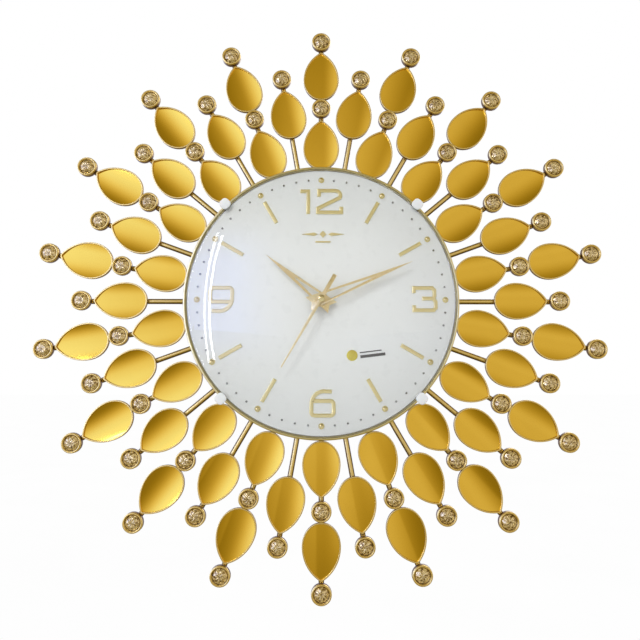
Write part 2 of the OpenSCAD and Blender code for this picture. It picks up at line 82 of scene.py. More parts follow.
# Rays
LONG_RAYS = 0
SHORT_RAYS = 10
RAYS_IN_SET = 18
RAY_STEP = 360 / RAYS_IN_SET
PETAL_LEN = 50.4
PETAL_HALF = 17.4
PETAL_WIDE = 20.5
PETAL_EDGE = 1.4
PETAL_T = 3
PETAL_FLOOR = 0.8
PETAL_SETS = {"inner": (LONG_RAYS, 128.6), "middle": (SHORT_RAYS, 162.8), "outer": (LONG_RAYS, 200)}
JEWEL_SETS = {"inner": (LONG_RAYS, 190.6), "middle": (SHORT_RAYS, 224.2), "outer": (LONG_RAYS, 260.4)}
CUP_R = 9.2
CUP_T = 5.4
CUP_FLOOR = 1.2
CUP_WALL = 2.45
RING_IN = 98
RING_OUT = 114
RING_MID = (RING_IN + RING_OUT) / 2
ROD_R = 2.5

# Depths
RING_FRONT = 5
RAY_FRONT = 10
DIAL_FRONT = 19.6
DIAL_BACK = 17.6
RIM_FRONT = 22

# Case, dial and glass
HOOPS = (55, 94.5)
RIM_R = 127.5
RIM_W = 3.2
DIAL_R = 123.9
DOME_R = 121.4
GLASS_T = 2
GLASS_H = 16.4
FLANGE_T = 2
TRACK_R = 114.8
BEAD_R = 2.9
STUD_R = 1.0
STUD_T = 0.8
BUSH_R = 4
HAND_TURNS = {"hour_hand": 308.8, "minute_hand": 67.5, "second_hand": 210.0}
CAP_R = 3.2

# Stage
CAMERA_TARGET = Vector((-1.2, -14.5, -18.3)) * MM
LENS = 28.1
FLOOR_SIZE = 40


# ---- settings ----

def colour(name, description, default):
    """A colour setting, in linear red, green and blue."""
    return FloatVectorProperty(name=name, description=description, default=default, subtype="COLOR",
                               size=3, min=0.0, max=1.0)


def number(name, description, default, low, high, subtype="DISTANCE", unit="LENGTH"):
    """A number setting: a length in metres unless it says otherwise."""
    return FloatProperty(name=name, description=description, default=default, min=low, max=high,
                         subtype=subtype, unit=unit)


class ClockRaySettings(PropertyGroup):
    """Sizes of the gold rays."""

    petal_round: number("Petal edge", "Round on a petal frame's edge", 0.00035, 0.0001, 0.0006)
    petal_dish: number("Sheet dish", "Dish of a mirror sheet across the ray", 0.0012, 0.0, 0.0014)
    weld_r: number("Weld size", "Radius of the weld beads", 0.0011, 0.0005, 0.0015)
    stone_seed: IntProperty(name="Stone seed", description="Seed for how the stones are turned",
                            default=7, min=0, max=999)


class ClockDialSettings(PropertyGroup):
    """Sizes of what stands on the dial."""

    numeral_chamfer: number("Numeral chamfer", "Chamfer round the numerals", 0.0008, 0.0001, 0.0009)
    hand_chamfer: number("Hand chamfer", "Chamfer along the hands", 0.0002, 0.00005, 0.0003)


class ClockColourSettings(PropertyGroup):
    """Colours of the clock's finishes."""

    mirror: colour("Gold mirror", "Petal sheets", (0.97, 0.63, 0.075))
    paint: colour("Gold paint", "Frames, cups and rods", (0.97, 0.76, 0.30))
    # Patina in the gold paint's pits, and the painted shade on its side walls and low places
    patina_and_shade: colour("Patina", "Low places of the gold paint", (0.15, 0.085, 0.022))
    stone: colour("Champagne stone", "Cut stones", (0.96, 0.79, 0.43))
    dial: colour("Dial", "Enamel of the dial", (0.78, 0.80, 0.785))
    applique: colour("Applied gold", "Numerals and batons", (0.94, 0.83, 0.42))
    hands: colour("Hands", "Hour, minute and second hands", (0.93, 0.78, 0.42))
    case: colour("Case plastic", "Case and clips", (0.84, 0.84, 0.82))
    movement: colour("Movement plastic", "Movement case and cover", (0.018, 0.018, 0.02))


class ClockStageSettings(PropertyGroup):
    """Camera and lights."""

    camera_turn: number("Camera turn", "Turn of the camera round the clock", math.radians(-0.41),
                        -math.pi, math.pi, "ANGLE", "ROTATION")
    camera_rise: number("Camera rise", "Height of the camera as an angle", math.radians(-6.7),
                        -math.pi / 2, math.pi / 2, "ANGLE", "ROTATION")
    camera_distance: number("Camera distance", "From the camera to its target", 0.4645, 0.3, 2.0)
    floor_drop: number("Floor drop", "From the clock down to the floor", 0.45, 0.1, 2.0)
    key_power: number("Key light", "Power of the large soft light", 18.0, 0.0, 100.0, "POWER", "POWER")
    strip_power: number("Strip light", "Power of the narrow light", 1.1, 0.0, 100.0, "POWER", "POWER")


# ---- modelling helpers ----

def pick(*pieces):
    """Selects only these pieces; the last one is active."""
    active = bpy.context.view_layer.objects.active
    if active and active.mode != "OBJECT":
        bpy.ops.object.mode_set(mode="OBJECT")
    bpy.ops.object.select_all(action="DESELECT")
    for piece in pieces:
        piece.select_set(True)
        bpy.context.view_layer.objects.active = piece


def apply_place():
    """Puts the place, turn and scale of what is selected into its mesh."""
    bpy.ops.object.transform_apply(location=True, rotation=True, scale=True)


@contextmanager
def editing(piece, mode="VERT", select=True):
    """Edit mode on one piece, with all or nothing selected."""
    pick(piece)
    bpy.ops.object.mode_set(mode="EDIT")
    bpy.ops.mesh.select_mode(type=mode)
    bpy.ops.mesh.select_all(action="SELECT" if select else "DESELECT")
    yield
    bpy.ops.object.mode_set(mode="OBJECT")


def select_edges(piece, wanted):
    """In edit mode, selects the edges for which wanted(edge) is true."""
    mesh = bmesh.from_edit_mesh(piece.data)
    bpy.ops.mesh.select_all(action="DESELECT")
    for edge in mesh.edges:
        edge.select_set(wanted(edge))
    mesh.select_flush_mode()
    bmesh.update_edit_mesh(piece.data)


def sharp(edge, least=math.radians(40)):
    """True where an edge's two faces meet at a real corner."""
    return len(edge.link_faces) == 2 and edge.calc_face_angle() > least


def at_depth(edge, depth):
    """True for an edge that lies at this depth."""
    return all(abs(v.co.y + depth * MM) < 0.02 * MM for v in edge.verts)


def added():
    """The object that an operator has just added."""
    return bpy.context.view_layer.objects.active


def box(size, place):
    """A box of this size about this place, both in millimetres as x, depth and z."""
    pick()
    x, depth, z = place
    bpy.ops.mesh.primitive_cube_add(size=1, location=(x * MM, -depth * MM, z * MM))
    piece = added()
    piece.scale = Vector(size) * MM
    apply_place()
    return piece


def ball(radius, place, stretch=(1, 1, 1), segments=8, rings=6):
    """A stretched ball of this radius in metres about a place in millimetres."""
    pick()
    x, depth, z = place
    bpy.ops.mesh.primitive_uv_sphere_add(segments=segments, ring_count=rings, radius=radius,
                                         location=(x * MM, -depth * MM, z * MM))
    piece = added()
    piece.scale = stretch
    apply_place()
    return piece


def rod(radius, start, end, depth):
    """A round bar up the twelve o'clock ray, from one radius to another, with eased ends."""
    pick()
    bpy.ops.mesh.primitive_cylinder_add(vertices=16, radius=radius * MM, depth=(end - start) * MM,
                                        location=(0, -depth * MM, (start + end) / 2 * MM))
    apply_place()
    return bevelled(added(), 0.25 * radius, 2, 60)


def turned(profile, steps=48):
    """A solid turned about the arbor from (radius, depth) points in millimetres."""
    pick()
    bpy.ops.mesh.primitive_plane_add(size=MM)
    piece = added()
    with editing(piece):
        bpy.ops.mesh.merge(type="CENTER")
        radius, depth = profile[0]
        bpy.ops.transform.translate(value=(radius * MM, -depth * MM, 0))
        for (r0, d0), (r1, d1) in zip(profile, profile[1:]):
            bpy.ops.mesh.extrude_vertices_move(
                TRANSFORM_OT_translate={"value": ((r1 - r0) * MM, (d0 - d1) * MM, 0)})
        bpy.ops.mesh.select_all(action="SELECT")
        bpy.ops.mesh.spin(steps=steps, angle=math.tau, center=(0, 0, 0), axis=(0, 1, 0))
        clean()
    return piece


def clean():
    """In edit mode, merges doubles and turns every face outwards."""
    bpy.ops.mesh.select_all(action="SELECT")
    bpy.ops.mesh.remove_doubles(threshold=0.002 * MM)
    bpy.ops.mesh.normals_make_consistent(inside=False)


def closed(profile):
    """A profile that comes back to its start, for a ring with a hole."""
    return profile + profile[:1]


def apply_modifier(piece, kind, **settings):
    """Adds a modifier with these settings and applies it."""
    modifier = piece.modifiers.new(kind.title(), kind)
    for key, value in settings.items():
        setattr(modifier, key, value)
    pick(piece)
    bpy.ops.object.modifier_apply(modifier=modifier.name)
    return piece


def bevelled(piece, width, segments=2, angle=35):
    """Rounds every edge sharper than angle by width millimetres."""
    return apply_modifier(piece, "BEVEL", width=width * MM, segments=segments, limit_method="ANGLE",
                          angle_limit=math.radians(angle), use_clamp_overlap=True)


def copy_of(node):
    """A clean copy of a frame node, with its triangles merged into flat faces."""
    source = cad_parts[node]
    piece = bpy.data.objects.new(node + "_copy", source.data.copy())
    bpy.context.collection.objects.link(piece)
    with editing(piece):
        bpy.ops.mesh.customdata_custom_splitnormals_clear()
        bpy.ops.mesh.remove_doubles(threshold=0.001 * MM)
        bpy.ops.mesh.dissolve_limited(angle_limit=math.radians(0.5))
    return piece


def joined(*pieces):
    """Joins pieces into the first of them."""
    pick(*reversed(pieces))
    if len(pieces) > 1:
        bpy.ops.object.join()
    return pieces[0]


def round_the_arbor(piece, turns, radius=0, twists=None):
    """Copies a piece to each clockwise turn about the arbor and joins the copies. A piece modelled
    on the arbor is moved out to radius. With twists, each copy turns about its own middle."""
    copies = []
    for i, turn in enumerate(turns):
        pick(piece)
        bpy.ops.object.duplicate(linked=False)
        copy = added()
        a = math.radians(turn)
        copy.location = (radius * MM * math.sin(a), 0, radius * MM * math.cos(a))
        copy.rotation_euler = (0, math.radians(twists[i]) if twists else a, 0)
        copies.append(copy)
    bpy.data.objects.remove(piece)
    pick(*copies)
    apply_place()
    return joined(*copies)


def ray_turns(first):
    """The turns of one set of rays, clockwise from twelve, in degrees."""
    return [first + RAY_STEP * i for i in range(RAYS_IN_SET)]


def put(piece, name, finish, node, slot=None, body="clock", smooth=30):
    """Names a finished piece, gives it its finish and body, and lets it stand for a frame node.
    Its slot has the finish's name unless another is given."""
    piece.name = piece.data.name = name
    piece.data.materials.clear()
    piece.data.materials.append(finishes()[finish])
    pick(piece)
    apply_place()
    bpy.ops.object.shade_smooth_by_angle(angle=math.radians(smooth))
    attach(piece, body)
    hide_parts(node)


def put_eased(node, ending, finish, width, segments=2, **where):
    """Puts a frame node's own shape with eased edges in its place."""
    put(bevelled(copy_of(node), width, segments), f"{node}_{ending}", finish, node, **where)


def refinish(node, finish):
    """Gives a frame node that keeps its shape a better finish."""
    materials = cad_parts[node].data.materials
    if not materials:
        materials.append(None)
    for i in range(len(materials)):
        materials[i] = finishes()[finish]


# ---- petal outline ----

TIP_R = ((PETAL_LEN - PETAL_WIDE) ** 2 + PETAL_HALF ** 2) / (2 * PETAL_HALF)


def petal_outline(steps=16):
    """Corners of a petal about its round end: a half ellipse, then two arcs to the point."""
    side = []
    for i in range(steps + 1):
        a = math.pi / 2 * i / steps
        side.append((PETAL_HALF * math.sin(a), PETAL_WIDE - PETAL_WIDE * math.cos(a)))
    for i in range(1, steps + 1):
        a = math.acos((TIP_R - PETAL_HALF) / TIP_R) * i / steps
        side.append((PETAL_HALF - TIP_R + TIP_R * math.cos(a), PETAL_WIDE + TIP_R * math.sin(a)))
    return side + [(-x, y) for x, y in side[-2:0:-1]]


def petal_half_at(y, inset):
    """Half the width of a petal at distance y from its round end."""
    if y < PETAL_WIDE:
        across = (PETAL_WIDE - y) / (PETAL_WIDE - inset)
        return (PETAL_HALF - inset) * math.sqrt(max(0.0, 1 - across * across))
    arc = math.sqrt(max(0.0, (TIP_R - inset) ** 2 - (y - PETAL_WIDE) ** 2))
    return max(0.0, PETAL_HALF - TIP_R + arc)


def petal_tip(inset):
    """Distance from the round end to the tip of a petal drawn in by inset."""
    return PETAL_WIDE + math.sqrt((TIP_R - inset) ** 2 - (TIP_R - PETAL_HALF) ** 2)


# ---- finishes ----

def rgba(values, gain=1.0):
    return (*[min(1.0, v * gain) for v in values], 1.0)


class Nodes:
    """A shader tree, with short ways to add nodes to it."""

    def __init__(self, tree):
        self.tree = tree

    def add(self, kind, inputs=None, **settings):
        """Adds a node with a value or a link for each input, and gives its outputs."""
        node = self.tree.nodes.new("ShaderNode" + kind)
        for key, value in settings.items():
            setattr(node, key, value)
        for key, value in (inputs or {}).items():
            self.set(node.inputs[key], value)
        return node.outputs

    def set(self, socket, value):
        """Links a socket to another, or gives it a value."""
        if isinstance(value, NodeSocket):
            self.tree.links.new(value, socket)
        else:
            socket.default_value = value

    def ranged(self, value, low, high, to_low=0.0, to_high=1.0, **settings):
        """Maps low..high to to_low..to_high, held at the ends."""
        return self.add("MapRange", {"Value": value, "From Min": low, "From Max": high,
                                     "To Min": to_low, "To Max": to_high}, **settings)[0]

    def spread(self, noise, to_low, to_high):
        """Maps the usual range of a noise to to_low..to_high."""
        return self.ranged(noise, 0.3, 0.7, to_low, to_high)

    def math(self, operation, a, b=0.0):
        return self.add("Math", {0: a, 1: b}, operation=operation)[0]

    def mixed(self, share, a, b):
        """Colour a where share is 0 and b where it is 1."""
        return self.add("Mix", {0: share, 6: a, 7: b}, data_type="RGBA")[2]

    def split(self, vector):
        return self.add("SeparateXYZ", {0: vector})


class Finish(Nodes):
    """A material with one Principled shader, and the nodes that feed it."""

    def __init__(self, name, **sockets):
        self.material = bpy.data.materials.new(name)
        self.material.use_nodes = True
        super().__init__(self.material.node_tree)
        self.shader = self.tree.nodes["Principled BSDF"]
        self.place = self.add("TexCoord")["Object"]
        self.feed(**sockets)

    def feed(self, **sockets):
        """Sets or links the shader's inputs by name."""
        for name, value in sockets.items():
            self.set(self.shader.inputs[name.replace("_", " ").title().replace("Ior", "IOR")], value)

    def surface(self, share, other):
        """Shows another shader where share is 1."""
        both = self.add("MixShader", {0: share, 1: self.shader.outputs[0], 2: other})[0]
        self.set(self.tree.nodes["Material Output"].inputs["Surface"], both)
        return self.material

    def stretched(self, scale=(1, 1, 1), turn=0):
        """Object coordinates turned about the arbor's axis and stretched."""
        turned_place = self.add("Mapping", {"Vector": self.place, "Rotation": (0, math.radians(turn), 0)})
        return self.add("Mapping", {"Vector": turned_place[0], "Scale": scale})[0]

    def noise(self, size, detail=3.0, place=None, rough=0.55):
        """Noise with spots of this size in millimetres."""
        return self.add("TexNoise", {"Vector": place or self.place, "Scale": 1 / (size * MM),
                                     "Detail": detail, "Roughness": rough})["Fac"]

    def cells(self, size, output="Color", **settings):
        """Flat cells of this size in millimetres."""
        return self.add("TexVoronoi", {"Vector": self.place, "Scale": 1 / (size * MM)}, **settings)[output]

    def depth(self, low, high):
        """0 at depth low and 1 at depth high, in millimetres from the wall."""
        return self.ranged(self.split(self.place)["Y"], -low * MM, -high * MM)

    def radius(self):
        """Distance from the arbor, in metres."""
        flat = self.add("VectorMath", {0: self.place, 1: (1, 0, 1)}, operation="MULTIPLY")[0]
        return self.add("VectorMath", {0: flat}, operation="LENGTH")["Value"]

    def uv(self, name):
        return self.add("UVMap", uv_map=name)[0]

    def bumped(self, *layers):
        """Stacks bumps, each a height and how far it stands out in millimetres. Gives the material."""
        normal = None
        for height, rise in layers:
            inputs = {"Height": height, "Distance": rise * MM, "Strength": 1.0}
            if normal is not None:
                inputs["Normal"] = normal
            normal = self.add("Bump", inputs)[0]
        self.feed(normal=normal)
        return self.material


def gold_mirror(name, colours):
    """Gold mirror sheet: a deep reflection, more dish across the ray than the sheet's own, faint
    sway in the sheet and wiped smears."""
    f = Finish(name, metallic=1.0)
    smear = f.noise(26, 4, f.stretched((1, 1, 0.35), 35))
    tone = f.mixed(smear, rgba(colours.mirror), rgba(colours.mirror, 0.90))
    specks = f.ranged(f.noise(1.6, 2), 0.62, 0.8, 0, 0.25)
    f.feed(base_color=f.mixed(specks, tone, rgba(colours.mirror, 0.8)),
           roughness=f.ranged(smear, 0.35, 0.7, 0.07, 0.13))
    across = f.split(f.uv("across"))["X"]
    dish = f.math("MULTIPLY", across, across)
    return f.bumped((dish, 1.5), (f.noise(34, 1), 0.03), (f.noise(0.35, 2), 0.0008))


def mark_lining(piece, inside=lambda place: False):
    """Marks the back of a piece, and its faces about places that are inside, to be painted bright."""
    lining = piece.data.uv_layers.new(name="lining")
    for face in piece.data.polygons:
        for loop in face.loop_indices:
            lining.data[loop].uv.x = float(face.normal.y > 0.5 or inside(face.center))


def gold_paint(name, colours, low, high, middle=0, lining=True):
    """Baked gold paint: bright from depth high on, brown below depth low, with fine grain and
    pits. With a middle, low and high are distances to either side of it. With a lining, faces
    marked in the UV map of that name are bright too."""
    f = Finish(name, metallic=1.0)
    wear = f.noise(3.2, 4)
    out = f.math("ABSOLUTE", f.math("ADD", f.split(f.place)["Y"], middle * MM))
    # Painted shade: the share of bright paint rises with depth, so walls and low places are brown where
    # shade falls
    height = f.math("ADD", f.ranged(out, low * MM, high * MM), f.spread(wear, -0.06, 0.06))
    if lining:
        height = f.math("ADD", height, f.split(f.uv("lining"))["X"])
    tone = f.mixed(f.ranged(height, 0.15, 0.85), rgba(colours.patina_and_shade), rgba(colours.paint))
    spots = f.ranged(f.noise(1.1, 3), 0.60, 0.78, 0, 0.14)
    f.feed(base_color=f.mixed(spots, tone, rgba(colours.patina_and_shade, 1.5)), roughness=f.spread(wear, 0.32, 0.42))
    return f.bumped((f.noise(0.6, 2), 0.003), (wear, 0.008))


def champagne(name, colours):
    """Cut stones backed with foil: wedges of light and dark round each stone's middle, broken up
    by small flashes."""
    f = Finish(name, metallic=0.75, coat_weight=0.6, coat_roughness=0.02, ior=1.6)
    cut = f.uv("cut")
    across = f.split(cut)
    angle = f.math("ARCTAN2", across["Y"], across["X"])
    out = f.add("VectorMath", {0: cut}, operation="LENGTH")["Value"]
    tier = f.math("MULTIPLY", f.math("FLOOR", f.math("MULTIPLY", out, 5.0)), 1.7)
    wedge = f.math("SINE", f.math("ADD", f.math("MULTIPLY", angle, 8.0), tier))
    flash = f.split(f.cells(1.9))
    spark = f.split(f.cells(0.9))
    # Painted reflections: facet wedges and flash cells make each stone's colour lighter or darker, with
    # painted shade on the dark facets
    light = f.math("ADD", f.math("MULTIPLY", wedge, 0.22), f.math("MULTIPLY", flash["X"], 0.5))
    light = f.math("ADD", light, f.math("MULTIPLY", spark["Y"], 0.45))
    deep = f.mixed(f.ranged(light, 0.05, 0.3), (0.15, 0.085, 0.025, 1), (0.60, 0.42, 0.16, 1))
    f.feed(base_color=f.mixed(f.ranged(light, 0.28, 0.68), deep, rgba(colours.stone)),
           roughness=f.ranged(flash["Z"], 0, 1, 0.03, 0.16))
    return f.bumped((wedge, 0.10), (flash["Y"], 0.25), (spark["X"], 0.10))


def dial_enamel(name, colours):
    """Glossy enamel on the dial: a cool white that greys to the rim, with faint orange peel."""
    f = Finish(name, coat_weight=0.1, coat_roughness=0.08, ior=1.35)
    # Painted shade: the white darkens from 50 mm out to the rim
    rim = f.ranged(f.radius(), 0.05, 0.125)
    tone = f.mixed(rim, rgba(colours.dial, 1.03), rgba(colours.dial, 0.93))
    cloudy = f.mixed(f.spread(f.noise(40, 2), 0, 0.12), tone, rgba(colours.dial, 0.98))
    dust = f.ranged(f.noise(0.9, 2), 0.72, 0.80, 0, 0.1)
    f.feed(base_color=f.mixed(dust, cloudy, rgba(colours.dial, 0.8)),
           roughness=f.spread(f.noise(9, 3), 0.26, 0.32))
    return f.bumped((f.noise(1.4, 2), 0.004))


def brushed(name, tone, turn=0, roughness=(0.2, 0.34), shade=0.78):
    """Metal brushed along a turn clockwise from twelve: lines 0.12 mm wide and 9 mm long."""
    f = Finish(name, metallic=1.0)
    lines = f.noise(1, 4, f.stretched((1 / 0.12, 1 / 0.12, 1 / 9), -turn))
    blotch = f.math("ADD", lines, f.spread(f.noise(6, 3), -0.15, 0.15))
    f.feed(base_color=f.mixed(f.ranged(lines, 0.35, 0.7), rgba(tone), rgba(tone, shade)),
           roughness=f.spread(blotch, *roughness))
    return f.bumped((lines, 0.004), (f.noise(0.3, 2), 0.002))


def spun(name, tone, roughness=(0.16, 0.3), shade=0.75, shade_below=None):
    """Metal turned on a lathe, with fine rings round the arbor, tarnished below a depth if given."""
    f = Finish(name, metallic=1.0)
    rings = f.noise(0.35, 3, f.add("CombineXYZ", {"X": f.radius()})[0], 0.5)
    tint = f.mixed(f.ranged(f.noise(8, 3), 0.35, 0.75), rgba(tone), rgba(tone, shade))
    if shade_below:
        # Painted shade: the metal darkens below the depth, as in the shadowed gap inside a rim
        tint = f.mixed(f.depth(shade_below, shade_below - 0.4), tint, rgba(tone, 0.48))
    f.feed(base_color=tint, roughness=f.spread(rings, *roughness))
    return f.bumped((rings, 0.006), (f.noise(0.5, 2), 0.003))


def moulded(name, tone, grain, rise, roughness=(0.36, 0.52), shade=0.82, milky=0.0):
    """Moulded plastic or rubber with a grained skin and slight flow marks, and how milky it is."""
    f = Finish(name, subsurface_weight=milky)
    flow = f.noise(22, 3, f.stretched((1, 1, 0.3)))
    fine = f.noise(grain, 3)
    scuff = f.ranged(f.noise(4, 5), 0.62, 0.72, 0, 0.35)
    f.feed(base_color=f.mixed(scuff, f.mixed(flow, rgba(tone), rgba(tone, shade)), rgba(tone, 1.25)),
           roughness=f.ranged(f.math("ADD", fine, scuff), 0.3, 0.8, *roughness))
    return f.bumped((fine, rise), (flow, rise))


def plated(name, tone, spot, roughness=(0.22, 0.4)):
    """Zinc plate: cool grey with soft crystals and faint yellow stains."""
    f = Finish(name, metallic=1.0)
    crystals = f.mixed(f.split(f.cells(2.2))["X"], rgba(tone), rgba(tone, 0.82))
    f.feed(base_color=f.mixed(f.ranged(f.noise(9, 4), 0.5, 0.75), crystals, rgba(spot)),
           roughness=f.spread(f.noise(2, 3), *roughness))
    return f.bumped((f.noise(0.4, 3), 0.006))


def clear_glass(name):
    """Clear glass that lets shadow rays through, with a trace of dust in its gloss."""
    f = Finish(name, base_color=(1, 1, 1, 1), transmission_weight=1.0, ior=1.1, coat_weight=1.0,
               coat_roughness=0.0, coat_ior=1.5)
    f.feed(roughness=f.ranged(f.noise(12, 4), 0.4, 0.8, 0.0, 0.012))
    f.bumped((f.noise(45, 1), 0.02))
    shadow = f.add("LightPath")["Is Shadow Ray"]
    return f.surface(shadow, f.add("BsdfTransparent", {"Color": (0.97, 0.98, 0.975, 1)})[0])


def copper_winding(name):
    """Fine enamelled copper wire wound round the coil, up and down Z."""
    f = Finish(name, metallic=0.9)
    turns = f.add("TexWave", {"Vector": f.place, "Scale": 900.0, "Distortion": 0.6, "Detail": 2.0},
                  bands_direction="Z")["Fac"]
    f.feed(base_color=f.mixed(turns, (0.30, 0.09, 0.03, 1), (0.78, 0.36, 0.17, 1)),
           roughness=f.spread(f.noise(1.5, 3), 0.25, 0.45))
    return f.bumped((turns, 0.05))


def solder_mask(name):
    """Green circuit board with paler copper tracks under the lacquer."""
    f = Finish(name, coat_weight=0.5, coat_roughness=0.15)
    track = f.ranged(f.cells(2.4, "Distance", feature="DISTANCE_TO_EDGE"), 0.06, 0.10, 1, 0)
    weave = f.noise(0.3, 2)
    lacquer = f.mixed(weave, (0.008, 0.09, 0.035, 1), (0.012, 0.12, 0.05, 1))
    f.feed(base_color=f.mixed(track, lacquer, (0.05, 0.24, 0.10, 1)), roughness=f.spread(weave, 0.35, 0.5))
    return f.bumped((track, 0.04), (weave, 0.01))


def battery_jacket(name):
    """Shrunk plastic jacket: a dark body and a copper-coloured end, split along X."""
    f = Finish(name, coat_weight=0.7, coat_roughness=0.12)
    x = f.split(f.place)["X"]
    end = f.ranged(x, 10.8 * MM, 11 * MM)
    line = f.math("MULTIPLY", f.ranged(x, 9.8 * MM, 9.9 * MM), f.ranged(x, 10.3 * MM, 10.4 * MM, 1, 0))
    foil = f.noise(1.2, 4)
    copper = f.mixed(foil, (0.75, 0.36, 0.12, 1), (0.55, 0.24, 0.07, 1))
    f.feed(base_color=f.mixed(line, f.mixed(end, (0.012, 0.012, 0.014, 1), copper), (0.62, 0.60, 0.56, 1)),
           metallic=f.math("MULTIPLY", end, 0.85),
           roughness=f.spread(foil, 0.24, 0.36))
    return f.bumped((f.noise(5, 3), 0.03))


FINISHES = {}


def finishes():
    """Every finish of the clock by name, made once."""
    if not FINISHES:
        c = bpy.context.scene.clock_colours
        for name, maker, *details in (
                ("gold_mirror", gold_mirror, c),
                # Painted shade: the gold paint is brown below the first depth and bright from the second,
                # on the frames' walls, in the cups' hollows and, about the middle of the rods, on the sides
                # of the rods and ring
                ("frame_paint", gold_paint, c, 12.45, 12.95),
                ("cup_paint", gold_paint, c, 13.7, 14.8),
                ("rod_paint", gold_paint, c, 1.5, 2.4, RING_FRONT + ROD_R, False),
                ("champagne_crystal", champagne, c),
                ("dial_enamel", dial_enamel, c),
                ("clear_glass", clear_glass),
                # The rim gets painted shade on everything more than 0.4 mm behind its front
                ("rim_gold", spun, (0.98, 0.88, 0.49), (0.30, 0.42), 0.9, RIM_FRONT - 0.4),
                ("applied_gold", brushed, c.applique, 60, (0.3, 0.42), 0.9),
                ("bead_gold", spun, (0.90, 0.76, 0.36), (0.2, 0.3)),
                ("silver_studs", plated, (0.42, 0.44, 0.44), (0.34, 0.33, 0.30), (0.2, 0.34)),
                ("badge_gold", brushed, (0.88, 0.76, 0.12), 30, (0.3, 0.42)),
                ("badge_grey", moulded, (0.07, 0.07, 0.07), 0.3, 0.003),
                ("white_plastic", moulded, c.case, 0.6, 0.012, (0.36, 0.52), 0.82, 0.08),
                ("black_plastic", moulded, c.movement, 0.45, 0.02, (0.38, 0.55), 0.6),
                ("black_rubber", moulded, (0.02, 0.02, 0.02), 0.35, 0.03, (0.6, 0.8)),
                ("gear_plastic", moulded, (0.78, 0.76, 0.66), 0.3, 0.004, (0.3, 0.42), 0.9, 0.15),
                ("zinc_steel", plated, (0.60, 0.61, 0.62), (0.62, 0.56, 0.40)),
                ("brass", spun, (0.80, 0.58, 0.22)),
                ("magnet", plated, (0.16, 0.16, 0.17), (0.12, 0.11, 0.10), (0.35, 0.5)),
                ("coil_wire", copper_winding),
                ("board_green", solder_mask),
                ("battery_jacket", battery_jacket)):
            FINISHES[name] = maker(name, *details)
        for hand, turn in HAND_TURNS.items():
            FINISHES[hand + "_gold"] = brushed(hand + "_gold", c.hands, turn, (0.24, 0.38), 0.88)
    return FINISHES


# ---- stage ----

def area_light(name, place, width, height, power, target=(0, 0, 0)):
    """A soft rectangular light that faces the target."""
    turn = (Vector(target) - Vector(place)).to_track_quat("-Z", "Y").to_euler()
    bpy.ops.object.light_add(type="AREA", location=place, rotation=turn)
    light = added()
    light.name = name
    light.data.shape = "RECTANGLE"
    light.data.size, light.data.size_y = width, height
    light.data.energy = power
    return light


def studio_world():
    """Pale surroundings: white to the camera and even on dull things. Shiny things show a light
    band at the clock's level, cool and bright on the left, in a warm and darker room."""
    world = bpy.data.worlds.new("studio")
    world.use_nodes = True
    n = Nodes(world.node_tree)
    way = n.split(n.add("TexCoord")["Generated"])
    turn = n.math("ARCTAN2", way["X"], n.math("MULTIPLY", way["Y"], -1.0))
    rise = n.math("ARCSINE", way["Z"])

    def window(turns, rises, gain):
        """A lit rectangle, its sides given in degrees from straight ahead and from level, each
        with how soft it is."""
        share = gain
        for value, sides in ((turn, turns), (rise, rises)):
            for (side, soft), sign in zip(sides, (1, -1)):
                inside = n.ranged(value, math.radians(side - sign * soft), math.radians(side + sign * soft),
                                  interpolation_type="SMOOTHSTEP")
                share = n.math("MULTIPLY", inside, share)
        return share

    glow = n.ranged(way["Y"], 0.0, 0.6, 0.22, 0.6)
    for light in (window(((-300, 1), (300, 1)), ((-13.5, 13.5), (28, 18)), 0.42),
                  window(((-140, 20), (-19, 17)), ((-11.5, 13), (35, 17)), 0.74),
                  window(((9, 2), (70, 20)), ((-27, 5), (-3, 7)), 0.09)):
        glow = n.math("ADD", light, glow)
    tint = n.mixed(n.ranged(glow, 0.25, 1.25), (1.25, 1.0, 0.25, 1), (0.79, 0.93, 1.8, 1))
    path = n.add("LightPath")
    scattered = n.math("GREATER_THAN", path["Diffuse Depth"], 0.5)
    for share, level in ((scattered, 0.95), (path["Is Camera Ray"], 1.0)):
        tint = n.mixed(share, tint, (1, 1, 1, 1))
        glow = n.add("Mix", {0: share, 2: glow, 3: level})[0]
    back = n.tree.nodes["Background"]
    n.set(back.inputs["Strength"], glow)
    n.set(back.inputs["Color"], tint)
    return world


def floor_finish():
    """Pale floor: white to the camera, softly grey in reflections."""
    f = Finish("pale_floor", roughness=0.9)
    cloud = f.noise(400, 3)
    f.feed(base_color=f.mixed(cloud, (0.62, 0.62, 0.62, 1), (0.55, 0.55, 0.55, 1)))
    white = f.add("Emission", {"Color": f.mixed(cloud, (1, 1, 1, 1), (0.98, 0.98, 0.98, 1))})[0]
    return f.surface(f.add("LightPath")["Is Camera Ray"], white)


